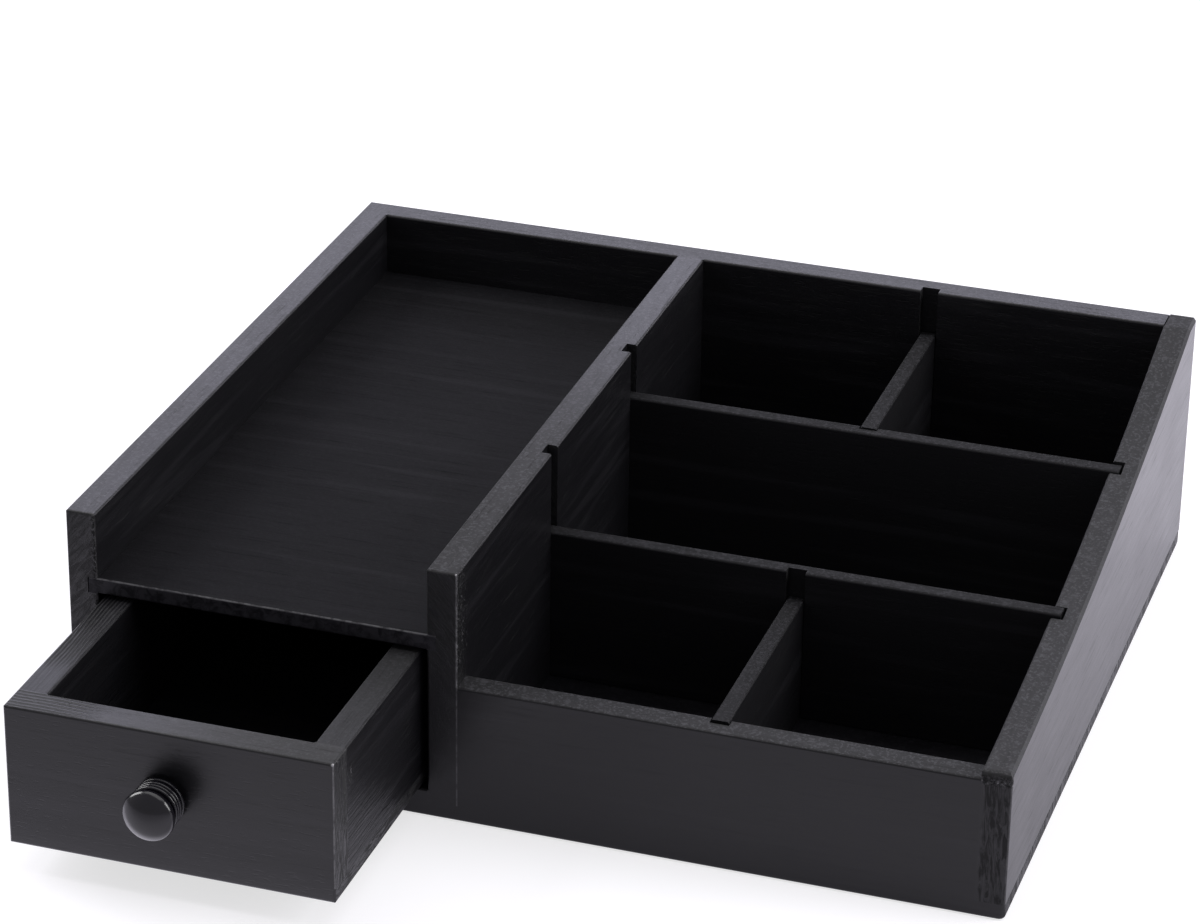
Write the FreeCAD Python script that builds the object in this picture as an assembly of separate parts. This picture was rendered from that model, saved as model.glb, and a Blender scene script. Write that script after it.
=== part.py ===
import FreeCAD
import Part
import math
import os

# Cologne organizer box: a divided well for bottles beside a small drawer with a tray on top.
# Sizes are in millimetres. X runs across the front, Y to the back and Z up.
# The origin is the middle of the case's underside.

V = FreeCAD.Vector

# Case
CASE_WIDTH = 305.0
CASE_DEPTH = 266.0
CASE_HEIGHT = 87.0
WALL = 10.0
RIGHT_WALL = 9.5
FRONT_WALL = 9.0
FRONT_HEIGHT = 47.7
BASE_THICKNESS = 5.5
CORNER_RADIUS = 2.0
UNDERSIDE_RADIUS = 1.2
ARRIS_RADIUS = 0.8
SEAM_RADIUS = 0.5
SEAM_START = 4.0

# Curved top of the right side: it rises from the front to the inside of the back, then runs level
CURVE_FRONT_HEIGHT = 50.6
CURVE_MIDDLE_HEIGHT = 62.2
CURVE_CHAMFER = 0.5
CURVE_OUTER_CHAMFER = 1.0
CURVE_NOSE_RADIUS = 2.0

# Drawer bay and the shelf over it
BAY_WIDTH = 110.0
SHELF_TOP = 64.6
SHELF_THICKNESS = 5.4
SHELF_DADO = 3.0
SHELF_END_GAP = 0.3
SILL_HEIGHT = 4.0
RUNNER_WIDTH = 10.0

# Lift-out dividers and their grooves
DIVIDER_THICKNESS = 5.7
GROOVE_WIDTH = 6.3
GROOVE_DEPTH = 3.5
RIGHT_GROOVE_WIDTH = 6.9
RIGHT_GROOVE_DEPTH = 4.1
COLUMN_FROM_PARTITION = 82.5
NOTCH_DEPTH = 2.5
END_PLAY = 0.9
NOTCH_PLAY = 0.4
LIFT_PLAY = 0.3
FRONT_ROW_Y = 92.1
BACK_ROW_Y = 175.5
FRONT_CROSS_TOP = 58.5
BACK_CROSS_TOP = 69.8
FRONT_SHORT_TOP = 48.4
BACK_SHORT_TOP = 70.3

# Drawer, standing open
DRAWER_OPEN = 72.3
DRAWER_WIDTH = 106.4
DRAWER_SIDE_GAP = 1.3
DRAWER_FLOOR_GAP = 0.3
DRAWER_BACK_GAP = 0.5
DRAWER_HEIGHT = 47.8
DRAWER_FRONT_THICKNESS = 10.8
DRAWER_BOARD = 10.0
DRAWER_BOTTOM_THICKNESS = 5.0

# Turned knob: distances are from the drawer's face, along the knob's axis
KNOB_FROM_DRAWER_SIDE = 51.5
KNOB_HEIGHT = 35.5
NECK_RADIUS = 5.4
NECK_LENGTH = 1.6
FLANGE_RADIUS = 7.9
FLANGE_END = 2.9
FLANGE_BEVEL = 0.3
FLANGE_GROOVE_RADIUS = 6.9
BEADS_START = 3.6
BEAD_COUNT = 3
BEAD_LENGTH = 1.4
BEAD_RADIUS = 7.95
BEAD_GROOVE_RADIUS = 7.4
HEAD_GROOVE_RADIUS = 6.3
HEAD_START = 9.0
HEAD_BACK_RADIUS = 6.9
HEAD_RADIUS = 8.4
HEAD_WIDEST = 11.2
HEAD_END = 15.3
HEAD_RIM_RADIUS = 2.3

# Screw that holds the knob from inside the drawer
SCREW_RADIUS = 2.0
SCREW_HOLE_RADIUS = 2.25
KNOB_BORE_RADIUS = 2.05
SCREW_IN_KNOB = 9.0
KNOB_BORE_DEPTH = 10.0
SCREW_HEAD_RADIUS = 4.0
SCREW_HEAD_HEIGHT = 2.4
SLOT_WIDTH = 0.9
SLOT_DEPTH = 1.0

# Places worked out from the sizes above
LEFT = -CASE_WIDTH / 2
RIGHT = CASE_WIDTH / 2
FRONT = -CASE_DEPTH / 2
BACK = CASE_DEPTH / 2
BAY_LEFT = LEFT + WALL
BAY_RIGHT = BAY_LEFT + BAY_WIDTH
WELL_LEFT = BAY_RIGHT + WALL
WELL_RIGHT = RIGHT - RIGHT_WALL
WELL_FRONT = FRONT + FRONT_WALL
WELL_BACK = BACK - WALL
SHELF_BOTTOM = SHELF_TOP - SHELF_THICKNESS
SILL_TOP = BASE_THICKNESS + SILL_HEIGHT
COLUMN_X = WELL_LEFT + COLUMN_FROM_PARTITION
FRONT_ROW = FRONT + FRONT_ROW_Y
BACK_ROW = FRONT + BACK_ROW_Y
DIVIDER_BOTTOM = BASE_THICKNESS + LIFT_PLAY
DRAWER_LEFT = BAY_LEFT + DRAWER_SIDE_GAP
DRAWER_RIGHT = DRAWER_LEFT + DRAWER_WIDTH
DRAWER_FACE = FRONT - DRAWER_OPEN
DRAWER_INNER_FACE = DRAWER_FACE + DRAWER_FRONT_THICKNESS
DRAWER_END = WELL_BACK - DRAWER_BACK_GAP - DRAWER_OPEN
DRAWER_BASE = SILL_TOP + DRAWER_FLOOR_GAP
DRAWER_FLOOR = DRAWER_BASE + DRAWER_BOTTOM_THICKNESS
DRAWER_TOP = DRAWER_BASE + DRAWER_HEIGHT
KNOB_X = DRAWER_LEFT + KNOB_FROM_DRAWER_SIDE


def board(x0, x1, y0, y1, z0, z1):
    """A plain board between two corners."""
    return Part.makeBox(x1 - x0, y1 - y0, z1 - z0, V(x0, y0, z0))


def rounding_cutter(start, end, inward, radius):
    """The waste that comes off the straight edge from start to end.

    inward has 1 or -1 along the two axes that cross the edge and points into the wood.
    """
    along = end - start
    outer = start - inward
    inner = end + inward * radius
    low = [min(outer[i], inner[i]) for i in range(3)]
    high = [max(outer[i], inner[i]) for i in range(3)]
    waste = board(low[0], high[0], low[1], high[1], low[2], high[2])
    direction = V(along).normalize()
    core_start = start + inward * radius - direction
    core = Part.makeCylinder(radius, along.Length + 2, core_start, direction)
    return waste.cut(core)


def rounded(solid, edges, radius=ARRIS_RADIUS):
    """The solid with its listed edges rounded. Each edge is a start, an end and a way inward."""
    for start, end, inward in edges:
        solid = solid.cut(rounding_cutter(V(*start), V(*end), V(*inward), radius))
    return solid


def top_edges(x0, x1, y0, y1, z, sides):
    """The edges round a board's top for the sides named by letter: l, r, f and b."""
    every = {
        "l": ((x0, y0, z), (x0, y1, z), (1, 0, -1)),
        "r": ((x1, y0, z), (x1, y1, z), (-1, 0, -1)),
        "f": ((x0, y0, z), (x1, y0, z), (0, 1, -1)),
        "b": ((x0, y1, z), (x1, y1, z), (0, -1, -1)),
    }
    return [every[side] for side in sides]


def upright(x, y, z0, z1, inward_x, inward_y):
    """An upright edge at x, y."""
    return ((x, y, z0), (x, y, z1), (inward_x, inward_y, 0))


def base_board():
    solid = board(LEFT, RIGHT, FRONT, BACK, 0, BASE_THICKNESS)
    corners = [e for e in solid.Edges if abs(e.Vertexes[0].Z - e.Vertexes[1].Z) > 1]
    solid = solid.makeFillet(CORNER_RADIUS, corners)
    under = [e for e in solid.Edges if all(v.Z < 0.01 for v in e.Vertexes)]
    solid = solid.makeFillet(UNDERSIDE_RADIUS, under)
    seam_start = (RIGHT, FRONT + SEAM_START, BASE_THICKNESS)
    seam_end = (RIGHT, BACK - SEAM_START, BASE_THICKNESS)
    return rounded(solid, [(seam_start, seam_end, (-1, 0, -1))], SEAM_RADIUS)


def left_side_panel():
    solid = board(LEFT, BAY_LEFT, FRONT, BACK, BASE_THICKNESS, CASE_HEIGHT)
    dado_end = BAY_LEFT - SHELF_DADO - SHELF_END_GAP
    dado = board(dado_end, BAY_LEFT, FRONT, WELL_BACK, SHELF_BOTTOM, SHELF_TOP)
    edges = top_edges(LEFT, BAY_LEFT, FRONT, BACK, CASE_HEIGHT, "lfb")
    edges += top_edges(LEFT, BAY_LEFT, FRONT, WELL_BACK, CASE_HEIGHT, "r")
    edges.append(upright(LEFT, FRONT, BASE_THICKNESS, CASE_HEIGHT, 1, 1))
    edges.append(upright(LEFT, BACK, BASE_THICKNESS, CASE_HEIGHT, 1, -1))
    edges.append(upright(BAY_LEFT, FRONT, SILL_TOP, SHELF_BOTTOM, -1, 1))
    edges.append(upright(BAY_LEFT, FRONT, SHELF_TOP, CASE_HEIGHT, -1, 1))
    return rounded(solid, edges).cut(dado)


def row_groove(x0, x1, y, width=GROOVE_WIDTH):
    """A groove for the end of a cross divider, open at the top."""
    return board(x0, x1, y - width / 2, y + width / 2, BASE_THICKNESS, CASE_HEIGHT + 1)


def column_groove(y0, y1):
    """A groove for the end of a short divider, open at the top."""
    half = GROOVE_WIDTH / 2
    return board(COLUMN_X - half, COLUMN_X + half, y0, y1, BASE_THICKNESS - 1, CASE_HEIGHT + 1)


def middle_partition():
    solid = board(BAY_RIGHT, WELL_LEFT, FRONT, WELL_BACK, BASE_THICKNESS, CASE_HEIGHT)
    edges = top_edges(BAY_RIGHT, WELL_LEFT, FRONT, WELL_BACK, CASE_HEIGHT, "lrf")
    edges.append(upright(BAY_RIGHT, FRONT, SILL_TOP, SHELF_BOTTOM, 1, 1))
    edges.append(upright(BAY_RIGHT, FRONT, SHELF_TOP, CASE_HEIGHT, 1, 1))
    edges.append(upright(WELL_LEFT, FRONT, FRONT_HEIGHT, CASE_HEIGHT, -1, 1))
    solid = rounded(solid, edges)
    solid = solid.cut(board(BAY_RIGHT, BAY_RIGHT + SHELF_DADO, FRONT, WELL_BACK, SHELF_BOTTOM, SHELF_TOP))
    for row in (FRONT_ROW, BACK_ROW):
        solid = solid.cut(row_groove(WELL_LEFT - GROOVE_DEPTH, WELL_LEFT, row))
    return solid


def right_side_outline():
    """The right side's outline: up the front, along the hollow arc, then level to the back."""
    low_front = V(RIGHT, FRONT, BASE_THICKNESS)
    low_back = V(RIGHT, BACK, BASE_THICKNESS)
    top_front = V(RIGHT, FRONT, CURVE_FRONT_HEIGHT)
    middle = V(RIGHT, (FRONT + WELL_BACK) / 2, CURVE_MIDDLE_HEIGHT)
    top_inside = V(RIGHT, WELL_BACK, CASE_HEIGHT)
    top_back = V(RIGHT, BACK, CASE_HEIGHT)
    return Part.Wire([
        Part.makeLine(low_front, top_front),
        Part.Arc(top_front, middle, top_inside).toShape(),
        Part.makeLine(top_inside, top_back),
        Part.makeLine(top_back, low_back),
        Part.makeLine(low_back, low_front),
    ])


def nose_waste(curve):
    """The waste off the curved side's front end, which leaves a round nose that meets the curve."""
    reach = FRONT + CURVE_NOSE_RADIUS - curve.Center.y
    drop = math.sqrt((curve.Radius + CURVE_NOSE_RADIUS) ** 2 - reach ** 2)
    nose = curve.Center + V(0, reach, -drop)
    meeting = nose + (curve.Center - nose).normalize() * CURVE_NOSE_RADIUS
    waste = board(WELL_RIGHT - 1, RIGHT + 1, FRONT - 1, meeting.y, nose.z, CASE_HEIGHT)
    core_start = V(WELL_RIGHT - 2, nose.y, nose.z)
    core = Part.makeCylinder(CURVE_NOSE_RADIUS, RIGHT_WALL + 4, core_start, V(1, 0, 0))
    return waste.cut(core)


def top_outline_edges(solid, x):
    """The right side's top edges at x: the hollow arc and the level end."""
    def on_top(edge):
        level = all(v.Z > CASE_HEIGHT - 0.01 for v in edge.Vertexes)
        return level or isinstance(edge.Curve, Part.Circle)
    return [e for e in solid.Edges if on_top(e) and all(abs(v.X - x) < 0.01 for v in e.Vertexes)]


def right_side_panel():
    outline = right_side_outline()
    curve = [e.Curve for e in outline.Edges if isinstance(e.Curve, Part.Circle)][0]
    solid = Part.Face(outline).extrude(V(-RIGHT_WALL, 0, 0))
    solid = solid.makeChamfer(CURVE_CHAMFER, top_outline_edges(solid, WELL_RIGHT))
    solid = solid.makeChamfer(CURVE_OUTER_CHAMFER, top_outline_edges(solid, RIGHT))
    solid = solid.cut(nose_waste(curve))
    edges = [upright(RIGHT, FRONT, BASE_THICKNESS, CASE_HEIGHT, -1, 1)]
    edges.append(upright(RIGHT, BACK, BASE_THICKNESS, CASE_HEIGHT, -1, -1))
    solid = rounded(solid, edges)
    groove_end = WELL_RIGHT + RIGHT_GROOVE_DEPTH
    for row in (FRONT_ROW, BACK_ROW):
        solid = solid.cut(row_groove(WELL_RIGHT, groove_end, row, RIGHT_GROOVE_WIDTH))
    return solid


def front_panel():
    solid = board(WELL_LEFT, WELL_RIGHT, FRONT, WELL_FRONT, BASE_THICKNESS, FRONT_HEIGHT)
    solid = rounded(solid, top_edges(WELL_LEFT, WELL_RIGHT, FRONT, WELL_FRONT, FRONT_HEIGHT, "fb"))
    return solid.cut(column_groove(WELL_FRONT - GROOVE_DEPTH, WELL_FRONT))


def back_panel():
    solid = board(BAY_LEFT, WELL_RIGHT, WELL_BACK, BACK, BASE_THICKNESS, CASE_HEIGHT)
    edges = top_edges(BAY_LEFT, WELL_RIGHT, WELL_BACK, BACK, CASE_HEIGHT, "b")
    edges += top_edges(BAY_LEFT, BAY_RIGHT, WELL_BACK, BACK, CASE_HEIGHT, "f")
    edges += top_edges(WELL_LEFT, WELL_RIGHT, WELL_BACK, BACK, CASE_HEIGHT, "f")
    return rounded(solid, edges).cut(column_groove(WELL_BACK, WELL_BACK + GROOVE_DEPTH))


def shelf_board():
    x0 = BAY_LEFT - SHELF_DADO
    x1 = BAY_RIGHT + SHELF_DADO
    solid = board(x0, x1, FRONT, WELL_BACK, SHELF_BOTTOM, SHELF_TOP)
    top = ((x0, FRONT, SHELF_TOP), (BAY_RIGHT, FRONT, SHELF_TOP), (0, 1, -1))
    bottom = ((BAY_LEFT, FRONT, SHELF_BOTTOM), (BAY_RIGHT, FRONT, SHELF_BOTTOM), (0, 1, 1))
    return rounded(solid, [top, bottom])


def drawer_sill():
    solid = board(BAY_LEFT, BAY_RIGHT, FRONT, FRONT + WALL, BASE_THICKNESS, SILL_TOP)
    return rounded(solid, top_edges(BAY_LEFT, BAY_RIGHT, FRONT, FRONT + WALL, SILL_TOP, "f"))


def drawer_runner(x0):
    return board(x0, x0 + RUNNER_WIDTH, FRONT + WALL, WELL_BACK, BASE_THICKNESS, SILL_TOP)


def cross_divider(row, top, notch_side):
    """A divider across the well, as high as the curved side there. notch_side is -1 at the front."""
    x0 = WELL_LEFT - GROOVE_DEPTH + END_PLAY
    x1 = WELL_RIGHT + RIGHT_GROOVE_DEPTH - END_PLAY
    y0 = row - DIVIDER_THICKNESS / 2
    y1 = row + DIVIDER_THICKNESS / 2
    solid = board(x0, x1, y0, y1, DIVIDER_BOTTOM, top)
    solid = rounded(solid, top_edges(x0, x1, y0, y1, top, "fb"))
    face = row + notch_side * DIVIDER_THICKNESS / 2
    notch_end = face - notch_side * NOTCH_DEPTH
    return solid.cut(column_groove(min(face, notch_end), max(face, notch_end)))


def short_divider(y0, y1, top):
    """A divider between a wall's groove and the notch in a cross divider."""
    x0 = COLUMN_X - DIVIDER_THICKNESS / 2
    x1 = COLUMN_X + DIVIDER_THICKNESS / 2
    solid = board(x0, x1, y0, y1, DIVIDER_BOTTOM, top)
    return rounded(solid, top_edges(x0, x1, y0, y1, top, "lr"))


def front_short_divider():
    y0 = WELL_FRONT - GROOVE_DEPTH + END_PLAY
    y1 = FRONT_ROW - DIVIDER_THICKNESS / 2 + NOTCH_DEPTH - NOTCH_PLAY
    return short_divider(y0, y1, FRONT_SHORT_TOP)


def back_short_divider():
    y0 = BACK_ROW + DIVIDER_THICKNESS / 2 - NOTCH_DEPTH + NOTCH_PLAY
    y1 = WELL_BACK + GROOVE_DEPTH - END_PLAY
    return short_divider(y0, y1, BACK_SHORT_TOP)


def drawer_bottom():
    """The plate that the drawer's boards stand on. Its front corners are rounded with theirs."""
    solid = board(DRAWER_LEFT, DRAWER_RIGHT, DRAWER_FACE, DRAWER_END, DRAWER_BASE, DRAWER_FLOOR)
    edges = [upright(DRAWER_LEFT, DRAWER_FACE, DRAWER_BASE, DRAWER_FLOOR, 1, 1)]
    edges.append(upright(DRAWER_RIGHT, DRAWER_FACE, DRAWER_BASE, DRAWER_FLOOR, -1, 1))
    front_left = (DRAWER_LEFT, DRAWER_FACE, DRAWER_BASE)
    front_right = (DRAWER_RIGHT, DRAWER_FACE, DRAWER_BASE)
    edges.append((front_left, front_right, (0, 1, 1)))
    edges.append((front_left, (DRAWER_LEFT, DRAWER_END, DRAWER_BASE), (1, 0, 1)))
    edges.append((front_right, (DRAWER_RIGHT, DRAWER_END, DRAWER_BASE), (-1, 0, 1)))
    return rounded(solid, edges)


def drawer_front():
    solid = board(DRAWER_LEFT, DRAWER_RIGHT, DRAWER_FACE, DRAWER_INNER_FACE, DRAWER_FLOOR, DRAWER_TOP)
    edges = top_edges(DRAWER_LEFT, DRAWER_RIGHT, DRAWER_FACE, DRAWER_INNER_FACE, DRAWER_TOP, "flr")
    inner_left = DRAWER_LEFT + DRAWER_BOARD
    inner_right = DRAWER_RIGHT - DRAWER_BOARD
    edges += top_edges(inner_left, inner_right, DRAWER_FACE, DRAWER_INNER_FACE, DRAWER_TOP, "b")
    edges.append(upright(DRAWER_LEFT, DRAWER_FACE, DRAWER_FLOOR, DRAWER_TOP, 1, 1))
    edges.append(upright(DRAWER_RIGHT, DRAWER_FACE, DRAWER_FLOOR, DRAWER_TOP, -1, 1))
    solid = rounded(solid, edges)
    hole = Part.makeCylinder(SCREW_HOLE_RADIUS, DRAWER_FRONT_THICKNESS + 2,
                             V(KNOB_X, DRAWER_FACE - 1, KNOB_HEIGHT), V(0, 1, 0))
    return solid.cut(hole)


def drawer_side(x0):
    x1 = x0 + DRAWER_BOARD
    solid = board(x0, x1, DRAWER_INNER_FACE, DRAWER_END, DRAWER_FLOOR, DRAWER_TOP)
    edges = top_edges(x0, x1, DRAWER_INNER_FACE, DRAWER_END, DRAWER_TOP, "lr")
    return rounded(solid, edges)


def drawer_back():
    x0 = DRAWER_LEFT + DRAWER_BOARD
    x1 = DRAWER_RIGHT - DRAWER_BOARD
    y0 = DRAWER_END - DRAWER_BOARD
    solid = board(x0, x1, y0, DRAWER_END, DRAWER_FLOOR, DRAWER_TOP)
    return rounded(solid, top_edges(x0, x1, y0, DRAWER_END, DRAWER_TOP, "fb"))


def knob_point(radius, distance):
    """A point of the knob's outline: out from its axis and out from the drawer's face."""
    return V(KNOB_X + radius, DRAWER_FACE - distance, KNOB_HEIGHT)


def turned_arc(centre_radius, centre_distance, radius, angle_from, angle_to):
    """A round stretch by its centre. The angle grows from straight out to the knob's pole."""
    def at(angle):
        out = centre_radius + radius * math.cos(angle)
        return knob_point(out, centre_distance + radius * math.sin(angle))
    return Part.Arc(at(angle_from), at((angle_from + angle_to) / 2), at(angle_to)).toShape()


def head_dome():
    """The head's front: a small round at the rim that runs smoothly into a wide crown."""
    rim_centre = HEAD_RADIUS - HEAD_RIM_RADIUS
    rise = HEAD_END - HEAD_WIDEST
    crown_radius = (rim_centre ** 2 + rise ** 2 - HEAD_RIM_RADIUS ** 2) / (2 * (rise - HEAD_RIM_RADIUS))
    meet = math.atan2(crown_radius - rise, rim_centre)
    rim = turned_arc(rim_centre, HEAD_WIDEST, HEAD_RIM_RADIUS, 0, meet)
    crown = turned_arc(0, HEAD_END - crown_radius, crown_radius, meet, math.pi / 2)
    return [rim, crown]


def knob_stem():
    """The turned outline behind the dome, as radius and distance: neck, flange, beads, head's back."""
    flange_root = FLANGE_RADIUS - FLANGE_BEVEL
    outline = [
        (0, 0),
        (NECK_RADIUS, 0),
        (NECK_RADIUS, NECK_LENGTH),
        (flange_root, NECK_LENGTH),
        (FLANGE_RADIUS, NECK_LENGTH + FLANGE_BEVEL),
        (FLANGE_RADIUS, FLANGE_END - FLANGE_BEVEL),
        (flange_root, FLANGE_END),
        (FLANGE_GROOVE_RADIUS, FLANGE_END),
        (FLANGE_GROOVE_RADIUS, BEADS_START),
    ]
    for i in range(BEAD_COUNT):
        start = BEADS_START + i * BEAD_LENGTH
        outline.append((BEAD_GROOVE_RADIUS, start))
        outline.append((BEAD_RADIUS, start + BEAD_LENGTH / 2))
    beads_end = BEADS_START + BEAD_COUNT * BEAD_LENGTH
    outline.append((BEAD_GROOVE_RADIUS, beads_end))
    outline.append((HEAD_GROOVE_RADIUS, beads_end))
    outline.append((HEAD_GROOVE_RADIUS, HEAD_START))
    outline.append((HEAD_BACK_RADIUS, HEAD_START))
    outline.append((HEAD_RADIUS, HEAD_WIDEST))
    return [knob_point(radius, distance) for radius, distance in outline]


def drawer_knob():
    """A turned knob: neck, thin flange, three beads and a domed head, bored for its screw."""
    stem = knob_stem()
    outline = [Part.makeLine(start, end) for start, end in zip(stem, stem[1:])]
    outline += head_dome()
    outline.append(Part.makeLine(knob_point(0, HEAD_END), stem[0]))
    face = Part.Face(Part.Wire(outline))
    solid = face.revolve(knob_point(0, 0), V(0, 1, 0), 360)
    bore = Part.makeCylinder(KNOB_BORE_RADIUS, KNOB_BORE_DEPTH + 1, knob_point(0, -1), V(0, -1, 0))
    return solid.cut(bore)


def knob_screw():
    """A slotted screw through the drawer's front into the knob."""
    head_top = DRAWER_INNER_FACE + SCREW_HEAD_HEIGHT
    shank = Part.makeCylinder(SCREW_RADIUS, SCREW_IN_KNOB + DRAWER_FRONT_THICKNESS,
                              V(KNOB_X, DRAWER_INNER_FACE, KNOB_HEIGHT), V(0, -1, 0))
    head = Part.makeCylinder(SCREW_HEAD_RADIUS, SCREW_HEAD_HEIGHT,
                             V(KNOB_X, DRAWER_INNER_FACE, KNOB_HEIGHT), V(0, 1, 0))
    crown = [e for e in head.Edges if all(abs(v.Y - head_top) < 0.01 for v in e.Vertexes)]
    head = head.makeChamfer(SCREW_HEAD_HEIGHT / 2, crown)
    slot = board(KNOB_X - SLOT_WIDTH / 2, KNOB_X + SLOT_WIDTH / 2, head_top - SLOT_DEPTH, head_top + 1,
                 KNOB_HEIGHT - 2 * SCREW_HEAD_RADIUS, KNOB_HEIGHT + 2 * SCREW_HEAD_RADIUS)
    return shank.fuse(head).removeSplitter().cut(slot)


PIECES = {
    "base_board": base_board(),
    "left_side_panel": left_side_panel(),
    "middle_partition": middle_partition(),
    "right_side_panel": right_side_panel(),
    "front_panel": front_panel(),
    "back_panel": back_panel(),
    "shelf_board": shelf_board(),
    "drawer_sill": drawer_sill(),
    "drawer_runner_left": drawer_runner(BAY_LEFT),
    "drawer_runner_right": drawer_runner(BAY_RIGHT - RUNNER_WIDTH),
    "front_cross_divider": cross_divider(FRONT_ROW, FRONT_CROSS_TOP, -1),
    "back_cross_divider": cross_divider(BACK_ROW, BACK_CROSS_TOP, 1),
    "front_short_divider": front_short_divider(),
    "back_short_divider": back_short_divider(),
    "drawer_bottom": drawer_bottom(),
    "drawer_front": drawer_front(),
    "drawer_left_side": drawer_side(DRAWER_LEFT),
    "drawer_right_side": drawer_side(DRAWER_RIGHT - DRAWER_BOARD),
    "drawer_back": drawer_back(),
    "drawer_knob": drawer_knob(),
    "knob_screw": knob_screw(),
}

os.makedirs("parts", exist_ok=True)
for node, shape in PIECES.items():
    if not shape.isValid() or len(shape.Solids) != 1:
        raise ValueError(node + " is not one sound solid")
    shape.Solids[0].exportStep("parts/" + node + ".step")
    print(node, round(shape.Volume), len(shape.Faces))
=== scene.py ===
"""Looks of the cologne organizer box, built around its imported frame. Lengths are in metres."""

import math
from collections import namedtuple
from types import SimpleNamespace

import bmesh
import bpy
from mathutils import Matrix, Vector


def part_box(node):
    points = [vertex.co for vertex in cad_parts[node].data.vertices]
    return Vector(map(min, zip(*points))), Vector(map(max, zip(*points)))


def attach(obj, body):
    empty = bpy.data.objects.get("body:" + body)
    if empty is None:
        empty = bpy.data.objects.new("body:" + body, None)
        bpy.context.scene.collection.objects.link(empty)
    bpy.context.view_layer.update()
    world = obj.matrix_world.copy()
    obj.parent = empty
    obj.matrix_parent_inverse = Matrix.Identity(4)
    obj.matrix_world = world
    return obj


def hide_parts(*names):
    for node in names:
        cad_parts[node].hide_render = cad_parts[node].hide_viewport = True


MM = 0.001
AXIS = {"x": 0, "y": 1, "z": 2}
WHITE = (1, 1, 1, 1)

# Camera: the photograph's place, direction and lens
CAMERA_PLACE = (0.3720, -1.2168, 0.6897)
CAMERA_AZIMUTH = 17.87
CAMERA_ELEVATION = 26.07
CAMERA_ROLL = 0.84
CAMERA_LENS = 128.5
SENSOR_WIDTH = 36.0
CAMERA_REACH = 50

# Knob: its axis and the drawer's face, and its outline as distance from the face and radius, in mm
KNOB_X = -89.7
KNOB_Z = 35.5
KNOB_FACE_Y = -205.3
KNOB_FLANGE = ((-0.15, 5.4), (1.05, 5.4), (1.4, 5.55), (1.58, 5.95), (1.6, 7.3), (1.66, 7.65),
               (1.82, 7.86), (2.05, 7.93), (2.5, 7.93), (2.74, 7.84), (2.88, 7.6), (2.92, 7.1),
               (3.05, 6.92), (3.3, 6.88), (3.5, 6.98))
KNOB_BEADS = (3.6, 5.0, 6.4, 7.8)
KNOB_BEAD_RADIUS = 7.98
KNOB_GROOVE_RADIUS = 7.35
KNOB_BEAD_FULLNESS = 0.8
KNOB_HEAD_BACK = ((7.88, 6.95), (7.98, 6.5), (8.25, 6.32), (8.7, 6.32), (8.95, 6.5), (9.1, 6.95),
                  (9.3, 7.5), (9.55, 7.85), (9.9, 8.15), (10.3, 8.34))
KNOB_HEAD_RADIUS = 8.4
KNOB_HEAD_WIDEST = 10.7
KNOB_HEAD_END = 15.3
KNOB_RIM_RADIUS = 2.2
KNOB_TURNS = 128
KNOB_BEAD_STEPS = 8
KNOB_RIM_STEPS = 12
KNOB_CROWN_STEPS = 18

# Floor: it is whitened where the camera sees it
FLOOR_HALF_SIZE = 4.0
FLOOR_DROP = 0.2 * MM
FLOOR_COLOUR = (0.43, 0.418, 0.457, 1)
FLOOR_WHITENING = 0.68

# The floor's sheen, a painted glow that only glossy rays see, so that glossy paint mirrors it: it
# grows from front to back along a slanting line, fades out in front of the box, and is stronger in a
# painted strip under the drawer's face, which the knob mirrors. The strip's middle lies some mm left
# of the knob, and it fades with the distance from there along X and Y.
FLOOR_SHEEN_COLOUR = (0.91, 0.88, 1.0, 1)
FLOOR_SHEEN_FRONT = 0.33
FLOOR_SHEEN_BACK = 1.00
FLOOR_SHEEN_SLANT = 0.25
FLOOR_SHEEN_GROWS = (-0.25, 0.42)
FLOOR_SHEEN_STARTS = (-0.37, -0.23)
FLOOR_SHEEN_UNDER_KNOB = 0.8
UNDER_KNOB_SHIFT = 50
UNDER_KNOB_REACH_X = (0.13, 0.09)
UNDER_KNOB_REACH_Y = (0.022, 0.008)

WORLD_LIGHT = 0.31
WORLD_COLOUR = (0.96, 0.94, 1, 1)

# Soft boxes: place, what they aim at, width, height, power in watts, and colour
CASE_FOOT = (0, 0, 0)
CASE_MIDDLE = (0, 0, 0.05)
LIGHTS = {
    "overhead": ((0.2, 0.5, 2.3), CASE_FOOT, 3.2, 2.4, 28, (1, 1, 1)),
    "back_left": ((-0.9, 2.1, 1.15), CASE_MIDDLE, 2.2, 1.3, 15, (0.83, 0.82, 1.0)),
    "back_right": ((1.15, 2.0, 0.55), CASE_MIDDLE, 1.2, 0.8, 5, (0.91, 0.89, 1.0)),
    "side_left": ((-1.6, 0.10, 1.00), CASE_MIDDLE, 1.10, 1.15, 28, (1, 1, 1)),
    "side_right": ((1.65, 0.15, 0.85), CASE_MIDDLE, 1.10, 1.00, 24, (1, 1, 1)),
}

# Paint
PAINT_BLACK = (0.0037, 0.0035, 0.0048, 1)
PAINT_DUST = (0.0300, 0.0290, 0.0340, 1)
# Pale worn paint, also used as a painted highlight along arrises
PAINT_WORN_AND_HIGHLIGHT = (0.1500, 0.1480, 0.1560, 1)
PAINT_DEEP = (0.0014, 0.0014, 0.0020, 1)
# A painted glint: pale spots at corners where a highlight shows
PAINT_GLINT = (0.4200, 0.4100, 0.4300, 1)

# Lacquer on the knob, and the screw's plating
LACQUER_BLACK = (0.0045, 0.0040, 0.0068, 1)
LACQUER_IOR = 1.52
LACQUER_COAT = 0.2
LACQUER_COAT_ROUGHNESS = 0.12
LACQUER_ROUGHNESS = (0.19, 0.26)
LACQUER_LINES = 0.10
STEEL_PALE = (0.55, 0.55, 0.54, 1)
STEEL_DARK = (0.38, 0.38, 0.37, 1)
STEEL_ROUGHNESS = (0.22, 0.42)

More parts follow.
